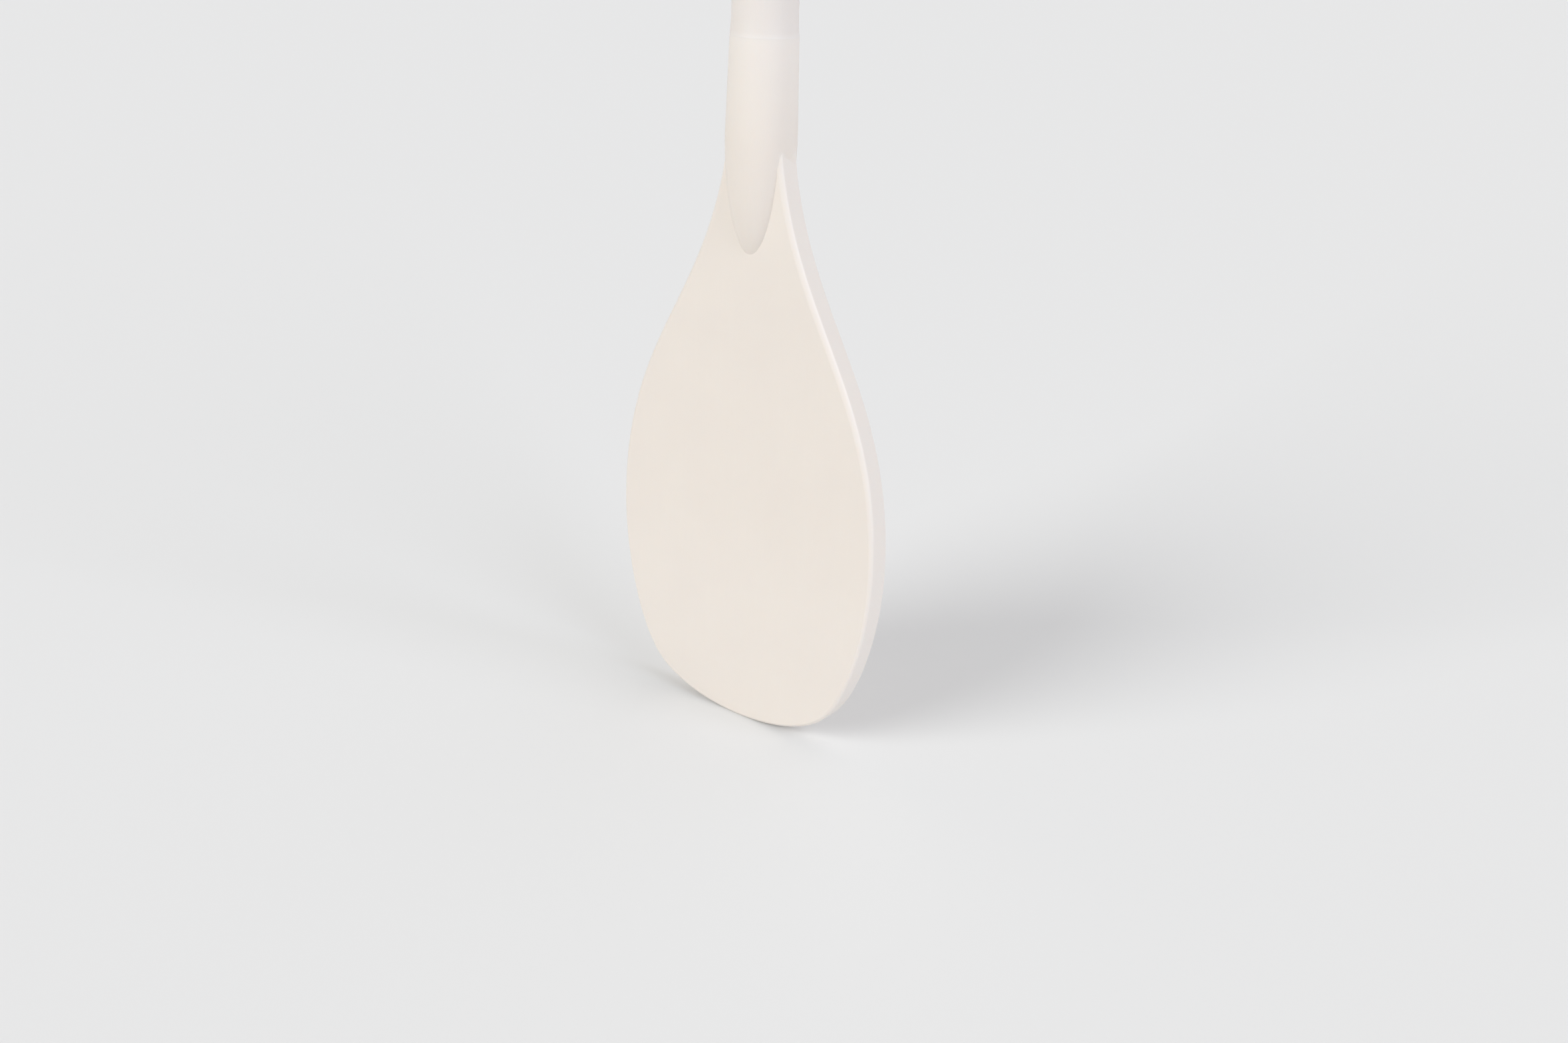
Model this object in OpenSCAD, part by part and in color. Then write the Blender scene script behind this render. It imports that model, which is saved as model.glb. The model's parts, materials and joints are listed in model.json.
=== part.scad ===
// Bone folder: a leaf-shaped creasing blade on a slim round handle.
// The tool stands on the blade's tip. X runs across the blade, Y through its
// thickness, Z up along the handle. The origin is the middle of the tip.

/* [Blade outline] */
// Width of the blade at its widest
blade_w = 38; // [34:0.2:42]
// Height of the widest place above the tip
wide_z = 24.7; // [22:0.1:30]
// Half width at the shoulder, where the blunt tip turns into the side
shoulder_x = 12.5; // [11:0.1:14]
// Height of the shoulder above the tip
shoulder_z = 3.5; // [2.5:0.1:5]
// Slope of the outline at the shoulder, from level
shoulder_slope = 40; // [34:1:48]
// Half width that the outline has shrunk to inside the neck
root_x = 3.4; // [3:0.1:3.5]
// Height at which the outline ends inside the neck
root_z = 77.4; // [75:0.1:80]

/* [Blade section] */
// Thickness of the blade
blade_t = 3.2; // [2.6:0.1:4]
// Radius that rounds each face over towards the edge
edge_r = 0.9; // [0.6:0.1:1.2]
// Turn of that rounding before it stops at a crisp line
edge_turn = 50; // [40:5:70]

/* [Neck] */
// Diameter of the neck where it leaves the blade
neck_d = 8; // [7.8:0.1:9]
// Height at which the neck starts to draw in towards its rounded end in the blade
nose_z = 72.1; // [70:0.1:74]
// Length over which it draws in, along half an ellipse
nose_len = 14.3; // [12:0.1:16]
// Diameter of the neck's upper end
ring_d = 7.48; // [7.3:0.01:7.8]
// Height of the joint between the neck and the handle
ring_z = 82.5; // [82:0.1:88]

/* [Handle] */
// Diameter of the handle
handle_d = 7.2; // [6.4:0.05:7.25]
// Length over which the handle flares out to meet the neck
flare_len = 2.6; // [1.5:0.1:5]
// Length of the whole tool
tool_len = 180; // [150:1:210]

/* [Dowel] */
// Diameter of the dowel inside the joint
dowel_d = 3; // [2:0.5:4]
// Length of the dowel
dowel_len = 24; // [16:1:24]
// Gap for the adhesive round the dowel and at its ends
glue_gap = 0.05; // [0.02:0.01:0.1]

/* [Hidden] */
$fn = 96;

cream = [0.93, 0.89, 0.85];
steel = [0.72, 0.73, 0.75];

// How far each end of a curve pulls straight on before it bends.
tip_pull = 7.2;
shoulder_pull_in = 1.8;
shoulder_pull_out = 5.4;
wide_pull_down = 7.4;
wide_pull_up = 24.2;
root_pull = 24.2;

// Steps along each curve of the outline, round each edge and along the nose.
curve_steps = 16;
edge_steps = 4;
nose_steps = 24;
// Steps round the large arc that the handle's flare follows.
arc_fn = 360;
// How far a cut runs past the face that it opens.
overcut = 0.1;

half_t = blade_t / 2;
dowel_r = dowel_d / 2;
socket_r = dowel_r + glue_gap;
socket_depth = dowel_len / 2 + glue_gap;
neck_r = neck_d / 2;
ring_r = ring_d / 2;
handle_r = handle_d / 2;
// Arc that rises by the flare's step over the flare's length.
flare_arc = (pow(flare_len, 2) + pow(ring_r - handle_r, 2)) / (2 * (ring_r - handle_r));

// A point on the cubic curve with ends a and d and pulls b and c.
function cubic(a, b, c, d, t) =
    pow(1 - t, 3) * a + 3 * pow(1 - t, 2) * t * b + 3 * (1 - t) * t * t * c + t * t * t * d;

// The curve's direction at the same place, as a unit vector.
function cubic_way(a, b, c, d, t) =
    let (v = (1 - t) * (1 - t) * (b - a) + 2 * (1 - t) * t * (c - b) + t * t * (d - c))
    v / norm(v);

tip = [0, 0];
shoulder = [shoulder_x, shoulder_z];
shoulder_way = [cos(shoulder_slope), sin(shoulder_slope)];
wide = [blade_w / 2, wide_z];
root = [root_x, root_z];

// The outline's right half, from the tip to the root, as three curves.
curves = [
    [tip, tip + [tip_pull, 0], shoulder - shoulder_pull_in * shoulder_way, shoulder],
    [shoulder, shoulder + shoulder_pull_out * shoulder_way, wide - [0, wide_pull_down], wide],
    [wide, wide + [0, wide_pull_up], root - [0, root_pull], root],
];

// Each row is a place on the outline and the direction in which it looks outward.
rows = [
    for (c = [0 : len(curves) - 1])
        for (i = [(c == 0 ? 0 : 1) : curve_steps])
            let (
                p = curves[c],
                t = i / curve_steps,
                way = cubic_way(p[0], p[1], p[2], p[3], t)
            )
            [cubic(p[0], p[1], p[2], p[3], t), [way[1], -way[0]]]
];

// The section from the front face to the back: distance in from the outline, and Y.
front_edge = [
    for (i = [0 : edge_steps])
        let (a = edge_turn * i / edge_steps)
        [edge_r * (sin(edge_turn) - sin(a)), edge_r * (1 - cos(a)) - half_t]
];
section = concat(front_edge, [for (i = [edge_steps : -1 : 0]) [front_edge[i][0], -front_edge[i][1]]]);

// The flat leaf, in one mesh: its sides swept round the outline and its two faces.
module leaf() {
    across = len(section);
    last = len(rows) - 1;
    right = [
        for (row = rows)
            for (s = section)
                [row[0][0] - s[0] * row[1][0], s[1], row[0][1] - s[0] * row[1][1]]
    ];
    // The left half repeats every row but the tip's, which both halves share.
    left = [for (i = [across : len(right) - 1]) [-right[i][0], right[i][1], right[i][2]]];
    function r(row, s) = row * across + s;
    function l(row, s) = row == 0 ? s : len(right) + (row - 1) * across + s;
    right_sides = [
        for (row = [0 : last - 1])
            for (s = [0 : across - 2])
                each [
                    [r(row, s), r(row + 1, s), r(row + 1, s + 1)],
                    [r(row, s), r(row + 1, s + 1), r(row, s + 1)]
                ]
    ];
    left_sides = [
        for (row = [0 : last - 1])
            for (s = [0 : across - 2])
                each [
                    [l(row, s), l(row + 1, s + 1), l(row + 1, s)],
                    [l(row, s), l(row, s + 1), l(row + 1, s + 1)]
                ]
    ];
    tip_faces = [
        [r(0, 0), l(1, 0), r(1, 0)],
        [r(0, across - 1), r(1, across - 1), l(1, across - 1)]
    ];
    wide_faces = [
        for (row = [1 : last - 1])
            each [
                [r(row, 0), l(row, 0), l(row + 1, 0), r(row + 1, 0)],
                [r(row, across - 1), r(row + 1, across - 1), l(row + 1, across - 1), l(row, across - 1)]
            ]
    ];
    root_face = [concat(
        [for (s = [0 : across - 1]) r(last, s)],
        [for (s = [across - 1 : -1 : 0]) l(last, s)]
    )];
    polyhedron(concat(right, left), concat(right_sides, left_sides, tip_faces, wide_faces, root_face));
}

// The neck: a round bar that draws in to a long rounded nose inside the blade.
module neck() {
    translate([0, 0, nose_z])
        cylinder(r1 = neck_r, r2 = ring_r, h = ring_z - nose_z);
    translate([0, 0, nose_z])
        rotate_extrude()
            polygon([
                [0, 0],
                for (i = [0 : nose_steps])
                    let (a = 90 * i / nose_steps)
                    [neck_r * cos(a), -nose_len * sin(a)]
            ]);
}

// The handle's foot: the rod swells along a hollow arc until it is as wide as the neck.
module flare() {
    rotate_extrude()
        difference() {
            square([ring_r, flare_len]);
            translate([handle_r + flare_arc, flare_len])
                circle(r = flare_arc, $fn = arc_fn);
        }
}

// The hole that takes one half of the dowel, opening at the joint.
module socket(up) {
    translate([0, 0, ring_z - (up ? overcut : socket_depth)])
        cylinder(r = socket_r, h = socket_depth + overcut);
}

module blade() {
    color(cream)
        difference() {
            union() {
                leaf();
                neck();
            }
            socket(false);
        }
}

module handle() {
    color(cream)
        difference() {
            union() {
                translate([0, 0, ring_z])
                    flare();
                translate([0, 0, ring_z + flare_len])
                    cylinder(r = handle_r, h = tool_len - ring_z - flare_len - handle_r);
                translate([0, 0, tool_len - handle_r])
                    sphere(r = handle_r);
            }
            socket(true);
        }
}

module dowel() {
    color(steel)
        translate([0, 0, ring_z - dowel_len / 2])
            cylinder(r = dowel_r, h = dowel_len);
}

blade();
handle();
dowel();
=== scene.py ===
"""Bone folder: the visible blade, handle and dowel, with their materials, stage, light and camera."""

import json
from math import asin, copysign, cos, hypot, pi, radians, sin, tau

import bmesh
import bpy
from mathutils import Matrix, Vector
from mathutils.kdtree import KDTree


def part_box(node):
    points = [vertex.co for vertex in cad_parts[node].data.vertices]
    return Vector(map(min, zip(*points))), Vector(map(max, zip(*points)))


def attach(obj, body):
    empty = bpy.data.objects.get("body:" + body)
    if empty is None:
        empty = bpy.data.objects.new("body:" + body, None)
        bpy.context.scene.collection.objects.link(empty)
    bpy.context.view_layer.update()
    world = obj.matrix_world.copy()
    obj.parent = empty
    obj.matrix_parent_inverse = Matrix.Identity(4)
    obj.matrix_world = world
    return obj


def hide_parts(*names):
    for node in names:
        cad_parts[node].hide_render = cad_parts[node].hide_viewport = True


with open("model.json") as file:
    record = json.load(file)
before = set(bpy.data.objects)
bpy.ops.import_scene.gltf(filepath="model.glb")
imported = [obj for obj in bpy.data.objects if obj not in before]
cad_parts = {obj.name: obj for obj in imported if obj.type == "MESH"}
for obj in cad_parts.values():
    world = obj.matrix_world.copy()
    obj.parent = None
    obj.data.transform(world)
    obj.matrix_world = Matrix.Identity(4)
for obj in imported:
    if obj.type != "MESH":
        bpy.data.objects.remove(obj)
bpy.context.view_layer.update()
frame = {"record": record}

MM = 0.001

# Sizes that the frame gives.
MOUNTS = {mount["name"]: mount for mount in frame["record"]["mounts"]}
BLADE_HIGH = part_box("blade")[1]
HANDLE_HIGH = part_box("handle")[1]
DOWEL_LOW, DOWEL_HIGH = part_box("dowel")
HALF_W = BLADE_HIGH.x
HALF_T = MOUNTS["blade_back"]["pos_m"][1]
NECK_R = BLADE_HIGH.y
RING_Z = BLADE_HIGH.z
RING_R = HANDLE_HIGH.x
HANDLE_R = MOUNTS["handle_grip"]["dims"]["r_mm"] * MM
TOOL_LEN = HANDLE_HIGH.z

# The blade's outline, as in the CAD model: its shoulder, widest place and root, and how far each
# end of a curve pulls straight on before it bends.
WIDE_Z = 24.7 * MM
SHOULDER = Vector((12.5, 3.5)) * MM
SHOULDER_SLOPE = radians(40)
ROOT = Vector((3.4, 77.4)) * MM
TIP_PULL = 7.2 * MM
SHOULDER_PULL_IN = 1.8 * MM
SHOULDER_PULL_OUT = 5.4 * MM
WIDE_PULL_DOWN = 7.4 * MM
WIDE_PULL_UP = 24.2 * MM
ROOT_PULL = 24.2 * MM
CURVE_STEPS = 56

# The blade's edge, from the face to the flat band: a softened fold, a slightly crowned bevel and the
# arris. Each is an arc: its radius, the turn from the face that it ends at, and its steps.
FOLD_ARC = (0.3 * MM, radians(20), 3)
BEVEL_ARC = (0.9 * MM, radians(58), 8)
ARRIS_ARC = (0.35 * MM, pi / 2, 5)
# The bevel shrinks to this share of its size between these two heights, towards the tip.
TIP_BEVEL = 0.7
FULL_BEVEL_Z = 38 * MM
TIP_BEVEL_Z = 14 * MM

# The neck's rounded nose, the socket for the dowel and the handle's flare.
NOSE_Z = 72.1 * MM
NOSE_LEN = 14.3 * MM
NOSE_STEPS = 64
GLUE_GAP = 0.05 * MM
SOCKET_R = DOWEL_HIGH.x + GLUE_GAP
SOCKET_DEPTH = (DOWEL_HIGH.z - DOWEL_LOW.z) / 2 + GLUE_GAP
FLARE_LEN = 2.6 * MM
FLARE_STEPS = 24
DOWEL_CHAMFER = 0.2 * MM
ROUND_STEPS = 144
# How far a cut runs past the face it opens, how near points are welded, and how far the wear and painted
# highlight reach.
OVERCUT = 1 * MM
WELD = 1e-7
WEAR_AND_HIGHLIGHT_REACH = 0.6 * MM

# Colours of the lights, which add up to white on the floor.
COOL = (0.87, 0.91, 1.0)
WARM = (1.0, 0.95, 0.91)
FAINTLY_WARM = (0.995, 0.985, 0.97)
FAINTLY_YELLOW = (0.989, 1.0, 0.973)


# ---- Shapes -------------------------------------------------------------------------------------

def cubic(a, b, c, d, t):
    """The point at t and the unit direction there, on the cubic curve with ends a and d."""
    s = 1 - t
    point = s**3 * a + 3 * s * s * t * b + 3 * s * t * t * c + t**3 * d
    way = s * s * (b - a) + 2 * s * t * (c - b) + t * t * (d - c)
    return point, way.normalized()


def outline_rows():
    """Each row is a place on the outline's right half and the way it looks outward, in X and Z."""
    tip = Vector((0, 0))
    wide = Vector((HALF_W, WIDE_Z))
    way = Vector((cos(SHOULDER_SLOPE), sin(SHOULDER_SLOPE)))
    rise = Vector((0, 1))
    curves = (
        (tip, tip + Vector((TIP_PULL, 0)), SHOULDER - SHOULDER_PULL_IN * way, SHOULDER),
        (SHOULDER, SHOULDER + SHOULDER_PULL_OUT * way, wide - WIDE_PULL_DOWN * rise, wide),
        (wide, wide + WIDE_PULL_UP * rise, ROOT - ROOT_PULL * rise, ROOT),
    )
    rows = []
    for curve in curves:
        for i in range(1 if rows else 0, CURVE_STEPS + 1):
            point, along = cubic(*curve, i / CURVE_STEPS)
            rows.append((point, Vector((along.y, -along.x))))
    return rows


def edge_section():
    """The section from the front face to the back: distance in from the outline, and Y."""
    turn = 0
    front = [(0, -HALF_T)]
    for radius, end, steps in (FOLD_ARC, BEVEL_ARC, ARRIS_ARC):
        inset, y = front[-1]
        for i in range(1, steps + 1):
            a = turn + (end - turn) * i / steps
            front.append((inset - radius * (sin(a) - sin(turn)), y + radius * (cos(turn) - cos(a))))
        turn = end
    reach = front[-1][0]
    front = [(inset - reach, y) for inset, y in front]
    return front + [(inset, -y) for inset, y in reversed(front)]


def edge_points():
    """The edge's section at each place of the outline's right half, from the front face to the back."""
    section = edge_section()
    rows = []
    for point, out in outline_rows():
        t = min(max((point.y - TIP_BEVEL_Z) / (FULL_BEVEL_Z - TIP_BEVEL_Z), 0), 1)
        size = TIP_BEVEL + (1 - TIP_BEVEL) * t * t * (3 - 2 * t)
        row = []
        for inset, y in section:
            place = point - size * inset * out
            depth = size * (HALF_T - abs(y))
            row.append(Vector((place.x, copysign(HALF_T - depth, y), place.y)))
        rows.append(row)
    return rows


def leaf(bm):
    """The flat leaf: its edge swept round the outline, its two faces and its root."""
    rows = edge_points()
    right = [[bm.verts.new(place) for place in row] for row in rows]
    left = [right[0]]
    for row in right[1:]:
        left.append([bm.verts.new((-v.co.x, v.co.y, v.co.z)) for v in row])
    for lower in range(len(rows) - 1):
        r0, r1, l0, l1 = right[lower], right[lower + 1], left[lower], left[lower + 1]
        for s in range(len(r0) - 1):
            bm.faces.new((r0[s], r1[s], r1[s + 1], r0[s + 1]))
            bm.faces.new((l0[s], l0[s + 1], l1[s + 1], l1[s]))
        if lower == 0:
            bm.faces.new((r0[0], l1[0], r1[0]))
            bm.faces.new((r0[-1], r1[-1], l1[-1]))
        else:
            bm.faces.new((r0[0], l0[0], l1[0], r1[0]))
            bm.faces.new((r0[-1], r1[-1], l1[-1], l0[-1]))
    bm.faces.new(right[-1] + left[-1][::-1])


def lathe(bm, profile):
    """A closed solid of revolution. The profile is (radius, z) from one end of the axis to the other."""
    rings = []
    for radius, z in profile:
        if radius == 0:
            rings.append([bm.verts.new((0, 0, z))])
        else:
            turns = [tau * (i + 0.5) / ROUND_STEPS for i in range(ROUND_STEPS)]
            rings.append([bm.verts.new((radius * cos(a), radius * sin(a), z)) for a in turns])
    for lower, upper in zip(rings, rings[1:]):
        for i in range(ROUND_STEPS):
            j = (i + 1) % ROUND_STEPS
            if len(lower) == 1:
                bm.faces.new((lower[0], upper[j], upper[i]))
            elif len(upper) == 1:
                bm.faces.new((lower[i], lower[j], upper[0]))
            else:
                bm.faces.new((lower[i], lower[j], upper[j], upper[i]))


def neck_profile():
    """From the nose buried in the blade, which is half an ellipse, up to the ring."""
    points = [(0, NOSE_Z - NOSE_LEN)]
    for i in range(1, NOSE_STEPS + 1):
        a = pi / 2 * i / NOSE_STEPS
        points.append((NECK_R * sin(a), NOSE_Z - NOSE_LEN * cos(a)))
    return points + [(RING_R, RING_Z), (0, RING_Z)]


def handle_profile():
    """From the bottom of the socket, out round the ring and the flare, up to the domed butt."""
    points = [(0, RING_Z + SOCKET_DEPTH), (SOCKET_R, RING_Z + SOCKET_DEPTH), (SOCKET_R, RING_Z)]
    step = RING_R - HANDLE_R
    arc = (FLARE_LEN**2 + step**2) / (2 * step)
    turn = asin(FLARE_LEN / arc)
    for i in range(FLARE_STEPS + 1):
        a = turn * (1 - i / FLARE_STEPS)
        points.append((HANDLE_R + arc * (1 - cos(a)), RING_Z + FLARE_LEN - arc * sin(a)))
    butt = TOOL_LEN - HANDLE_R
    for i in range(FLARE_STEPS + 1):
        a = pi / 2 * i / FLARE_STEPS
        points.append((HANDLE_R * cos(a), butt + HANDLE_R * sin(a)))
    points[-1] = (0, TOOL_LEN)
    return points


def dowel_profile():
    """The pin, with both ends chamfered."""
    radius, low, high = DOWEL_HIGH.x, DOWEL_LOW.z, DOWEL_HIGH.z
    return [
        (0, low), (radius - DOWEL_CHAMFER, low), (radius, low + DOWEL_CHAMFER),
        (radius, high - DOWEL_CHAMFER), (radius - DOWEL_CHAMFER, high), (0, high),
    ]


# ---- Meshes -------------------------------------------------------------------------------------

def make_object(name, draw, *values):
    """A mesh object drawn by a function into an empty bmesh."""
    bm = bmesh.new()
    draw(bm, *values)
    bmesh.ops.recalc_face_normals(bm, faces=bm.faces)
    mesh = bpy.data.meshes.new(name)
    bm.to_mesh(mesh)
    bm.free()
    piece = bpy.data.objects.new(name, mesh)
    bpy.context.scene.collection.objects.link(piece)
    return piece


def apply_boolean(piece, other, operation):
    """Joins other to piece, or cuts it away, and removes it."""
    modifier = piece.modifiers.new("cut", "BOOLEAN")
    modifier.object = other
    modifier.operation = operation
    modifier.solver = "EXACT"
    shape = piece.evaluated_get(bpy.context.evaluated_depsgraph_get())
    mesh = bpy.data.meshes.new_from_object(shape)
    piece.modifiers.remove(modifier)
    piece.data = mesh
    bpy.data.objects.remove(other)


def shade(piece, crease):
    """Smooth shading that breaks where two faces meet at more than the crease angle."""
    bm = bmesh.new()
    bm.from_mesh(piece.data)
    bmesh.ops.remove_doubles(bm, verts=bm.verts, dist=WELD)
    bmesh.ops.dissolve_degenerate(bm, edges=bm.edges, dist=WELD)
    for face in bm.faces:
        face.smooth = True
    for edge in bm.edges:
        edge.smooth = len(edge.link_faces) == 2 and edge.calc_face_angle() < crease
    bm.to_mesh(piece.data)
    bm.free()
    modifier = piece.modifiers.new("normals", "WEIGHTED_NORMAL")
    modifier.keep_sharp = True


def mark_wear_and_highlight(piece, lines, reach):
    """Stores how worn each point is, which also paints a highlight: 1 on the lines that hands and paper
    rub and that catch a bright strip of light, 0 beyond their reach.
    """
    tree = KDTree(len(lines))
    for i, point in enumerate(lines):
        tree.insert(point, i)
    tree.balance()
    wear_and_highlight = piece.data.attributes.new("wear_and_highlight", "FLOAT", "POINT")
    for vertex, value in zip(piece.data.vertices, wear_and_highlight.data):
        distance = tree.find(vertex.co)[2]
        value.value = max(0.0, 1 - distance / reach)


def arris_points():
    """Points along the four crisp lines where the blade's bevels end, up to where the neck covers them."""
    arris = FOLD_ARC[2] + BEVEL_ARC[2]
    points = []
    for row in edge_points():
        place = row[arris]
        if place.z < NOSE_Z - NOSE_LEN or hypot(place.x, place.y) > NECK_R:
            points += [Vector((x * place.x, y * place.y, place.z)) for x in (-1, 1) for y in (-1, 1)]
    return points


def ring_points(radius, z):
    """Points round a ring."""
    turns = [tau * i / ROUND_STEPS for i in range(ROUND_STEPS)]
    return [Vector((radius * cos(a), radius * sin(a), z)) for a in turns]


# ---- Materials ----------------------------------------------------------------------------------

def new_material(name):
    """An empty node material, with its principled shader."""
    material = bpy.data.materials.new(name)
    material.use_nodes = True
    return material, material.node_tree, material.node_tree.nodes["Principled BSDF"]


def noise(tree, scale, detail, stretch=(1, 1, 1)):
    """Noise over the object's own space, with its scale in cells a metre."""
    place = tree.nodes.new("ShaderNodeTexCoord")
    size = tree.nodes.new("ShaderNodeMapping")
    size.inputs["Scale"].default_value = stretch
    texture = tree.nodes.new("ShaderNodeTexNoise")
    texture.inputs["Scale"].default_value = scale
    texture.inputs["Detail"].default_value = detail
    tree.links.new(place.outputs["Object"], size.inputs["Vector"])
    tree.links.new(size.outputs["Vector"], texture.inputs["Vector"])
    return texture.outputs["Fac"]


def spread(tree, value, low, high, out_low, out_high):
    """Maps value from low..high to out_low..out_high, held at both ends."""
    node = tree.nodes.new("ShaderNodeMapRange")
    for name, number in (("From Min", low), ("From Max", high), ("To Min", out_low), ("To Max", out_high)):
        node.inputs[name].default_value = number
    tree.links.new(value, node.inputs["Value"])
    return node.outputs["Result"]


def blend_colors(tree, factor, first, second):
    """A mix of two colours, where each is a colour or a socket."""
    node = tree.nodes.new("ShaderNodeMix")
    node.data_type = "RGBA"
    tree.links.new(factor, node.inputs["Factor"])
    for socket, color in ((node.inputs[6], first), (node.inputs[7], second)):
        if isinstance(color, tuple):
            socket.default_value = (*color, 1)
        else:
            tree.links.new(color, socket)
    return node.outputs[2]


def bump(tree, height, distance, normal=None):
    """A bump of a height in metres, on top of another one if given."""
    node = tree.nodes.new("ShaderNodeBump")
    node.inputs["Strength"].default_value = 1
    node.inputs["Distance"].default_value = distance
    tree.links.new(height, node.inputs["Height"])
    if normal:
        tree.links.new(normal, node.inputs["Normal"])
    return node.outputs["Normal"]


def ivory(name, deep, pale, rubbed_and_highlit=(0.83, 0.79, 0.76)):
    """Satin ivory: faint clouds of two tones, a fine grain along the tool, and lines painted paler, partly
    for wear and partly as a painted highlight.
    """
    material, tree, shader = new_material(name)
    clouds = spread(tree, noise(tree, 140, 3), 0.3, 0.7, 0, 1)
    grain = noise(tree, 2600, 2, stretch=(1, 1, 0.04))
    wear_and_highlight = tree.nodes.new("ShaderNodeAttribute")
    wear_and_highlight.attribute_name = "wear_and_highlight"
    clouded = blend_colors(tree, clouds, deep, pale)
    grained = blend_colors(tree, spread(tree, grain, 0.3, 0.7, 0, 0.35), clouded, deep)
    # The paler colour on the marked lines is partly wear and partly a painted highlight on the arris lines
    # and the ring.
    worn_and_highlit = blend_colors(tree, spread(tree, wear_and_highlight.outputs["Fac"], 0, 1, 0, 0.5), grained, rubbed_and_highlit)
    tree.links.new(worn_and_highlit, shader.inputs["Base Color"])
    tree.links.new(spread(tree, noise(tree, 900, 3), 0.3, 0.7, 0.42, 0.50), shader.inputs["Roughness"])
    fine = bump(tree, noise(tree, 5200, 2), 0.004 * MM)
    tree.links.new(bump(tree, noise(tree, 420, 2), 0.010 * MM, fine), shader.inputs["Normal"])
    shader.inputs["IOR"].default_value = 1.5
    shader.inputs["Subsurface Weight"].default_value = 0.12
    shader.inputs["Subsurface Radius"].default_value = (1.0, 0.7, 0.5)
    shader.inputs["Subsurface Scale"].default_value = 0.4 * MM
    return material


def brushed_steel():
    """Ground steel, with fine turning lines round the pin."""
    material, tree, shader = new_material("brushed_steel")
    lines = noise(tree, 9000, 2, stretch=(0.02, 0.02, 1))
    tone = blend_colors(tree, lines, (0.50, 0.50, 0.52), (0.66, 0.66, 0.68))
    tree.links.new(tone, shader.inputs["Base Color"])
    tree.links.new(spread(tree, lines, 0.3, 0.7, 0.24, 0.40), shader.inputs["Roughness"])
    tree.links.new(bump(tree, lines, 0.002 * MM), shader.inputs["Normal"])
    shader.inputs["Metallic"].default_value = 1
    return material


def plain_floor():
    """The pale, matt floor."""
    material, _, shader = new_material("pale_floor")
    shader.inputs["Base Color"].default_value = (0.8, 0.8, 0.8, 1)
    shader.inputs["Roughness"].default_value = 1
    shader.inputs["Specular IOR Level"].default_value = 0
    return material


# ---- Pieces -------------------------------------------------------------------------------------

def finish_piece(piece, material, node):
    """Gives a piece its material and its place in the frame."""
    piece.data.materials.clear()
    piece.data.materials.append(material)
    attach(piece, "root")
    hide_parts(node)


def make_blade(material):
    """The leaf and the round neck made in one, with the socket for the dowel."""
    piece = make_object("leaf_blade", leaf)
    apply_boolean(piece, make_object("neck_bar", lathe, neck_profile()), "UNION")
    floor_z = RING_Z - SOCKET_DEPTH
    bore = [(0, floor_z), (SOCKET_R, floor_z), (SOCKET_R, RING_Z + OVERCUT), (0, RING_Z + OVERCUT)]
    apply_boolean(piece, make_object("socket_bore", lathe, bore), "DIFFERENCE")
    shade(piece, radians(17))
    # Marks the arris lines and the ring for the paler colour: partly wear, partly a painted highlight.
    mark_wear_and_highlight(piece, arris_points() + ring_points(RING_R, RING_Z), WEAR_AND_HIGHLIGHT_REACH)
    finish_piece(piece, material, "blade")


def make_handle(material):
    """The rod, from the ring and its flare up to the domed butt."""
    piece = make_object("rod_handle", lathe, handle_profile())
    shade(piece, radians(40))
    # Marks the ring for the paler colour: partly wear, partly a painted highlight.
    mark_wear_and_highlight(piece, ring_points(RING_R, RING_Z), WEAR_AND_HIGHLIGHT_REACH)
    finish_piece(piece, material, "handle")


def make_dowel(material):
    """The pin that holds the handle to the blade."""
    piece = make_object("joint_dowel", lathe, dowel_profile())
    shade(piece, radians(30))
    finish_piece(piece, material, "dowel")


# ---- Stage, light and camera --------------------------------------------------------------------

def make_floor(half_size=20):
    """A floor that runs far past the picture."""
    bm = bmesh.new()
    corners = ((-1, -1), (1, -1), (1, 1), (-1, 1))
    bm.faces.new([bm.verts.new((x * half_size, y * half_size, 0)) for x, y in corners])
    mesh = bpy.data.meshes.new("floor")
    bm.to_mesh(mesh)
    bm.free()
    floor = bpy.data.objects.new("floor", mesh)
    floor.data.materials.append(plain_floor())
    bpy.context.scene.collection.objects.link(floor)


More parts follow.
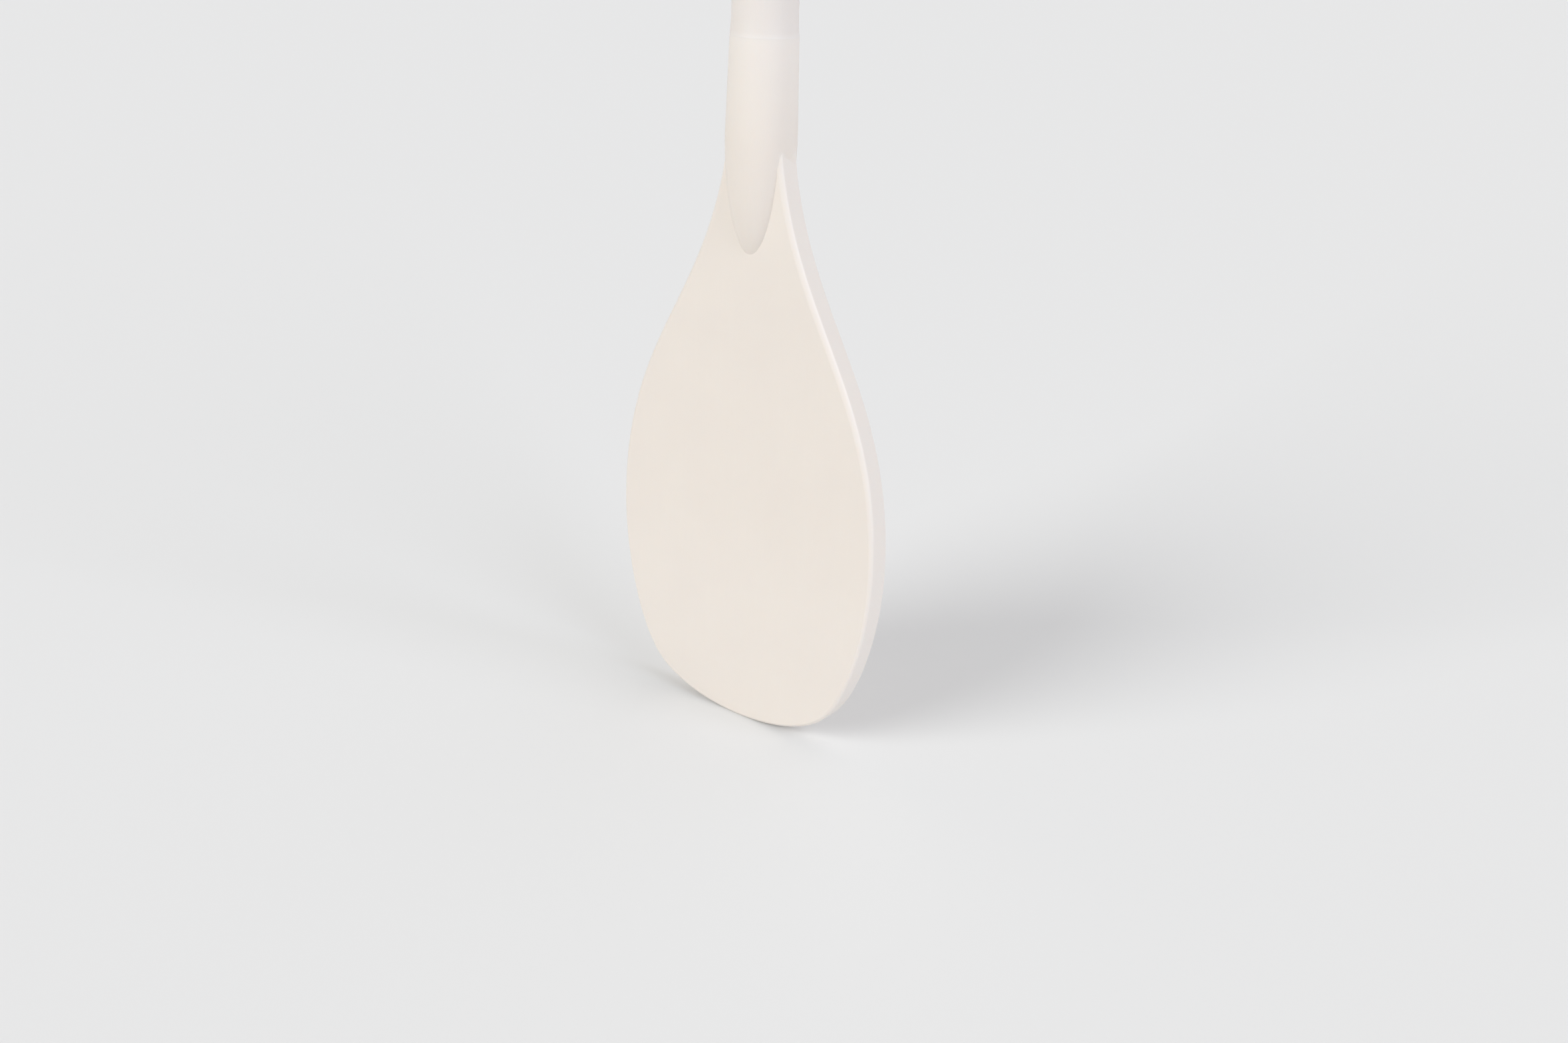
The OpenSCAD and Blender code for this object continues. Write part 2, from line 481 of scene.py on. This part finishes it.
def soft_light(name, azimuth, elevation, width, strength, color=(1, 1, 1)):
    """A far softbox: azimuth turns from the front, -Y, towards +X, and width is how wide it looks."""
    light = bpy.data.lights.new(name, "SUN")
    light.energy = strength
    light.angle = radians(width)
    light.color = color
    lamp = bpy.data.objects.new(name, light)
    a, e = radians(azimuth), radians(elevation)
    source = Vector((sin(a) * cos(e), -cos(a) * cos(e), sin(e)))
    lamp.rotation_mode = "QUATERNION"
    lamp.rotation_quaternion = source.to_track_quat("Z", "Y")
    bpy.context.scene.collection.objects.link(lamp)


def make_world(horizon, zenith, color):
    """Light from all round, with one brightness at the horizon and one overhead."""
    world = bpy.data.worlds.new("studio")
    world.use_nodes = True
    tree = world.node_tree
    tree.nodes["Background"].inputs["Color"].default_value = (*color, 1)
    place = tree.nodes.new("ShaderNodeTexCoord")
    parts = tree.nodes.new("ShaderNodeSeparateXYZ")
    tree.links.new(place.outputs["Generated"], parts.inputs["Vector"])
    tree.links.new(
        spread(tree, parts.outputs["Z"], 0.1, 0.6, horizon, zenith),
        tree.nodes["Background"].inputs["Strength"],
    )
    bpy.context.scene.world = world


def make_camera():
    """The camera: where it stands, which way it looks and how it leans."""
    data = bpy.data.cameras.new("camera")
    data.sensor_width = 36
    data.lens = 36.657
    data.clip_start = 0.01
    camera = bpy.data.objects.new("camera", data)
    look = Matrix.Rotation(radians(36.578), 4, "Z") @ Matrix.Rotation(radians(90 - 23.095), 4, "X")
    lean = Matrix.Rotation(radians(2.292), 4, "Z")
    camera.matrix_world = Matrix.Translation(Vector((108.92, -139.80, 101.72)) * MM) @ look @ lean
    bpy.context.scene.collection.objects.link(camera)
    bpy.context.scene.camera = camera


make_camera()
make_floor()
make_world(horizon=0.36, zenith=0.43, color=FAINTLY_WARM)
soft_light("right_softbox", 84, 30, 44, 1.40, COOL)
soft_light("rim_softbox", 108, 24, 26, 0.12, COOL)
soft_light("left_softbox", -18, 29, 34, 1.66, FAINTLY_YELLOW)
soft_light("back_softbox", 170, 56, 60, 0.46, WARM)
bpy.context.scene.view_settings.view_transform = "Standard"

make_blade(ivory("blade_ivory", (0.767, 0.702, 0.646), (0.783, 0.719, 0.659)))
make_handle(ivory("handle_ivory", (0.755, 0.703, 0.670), (0.770, 0.720, 0.682)))
make_dowel(brushed_steel())
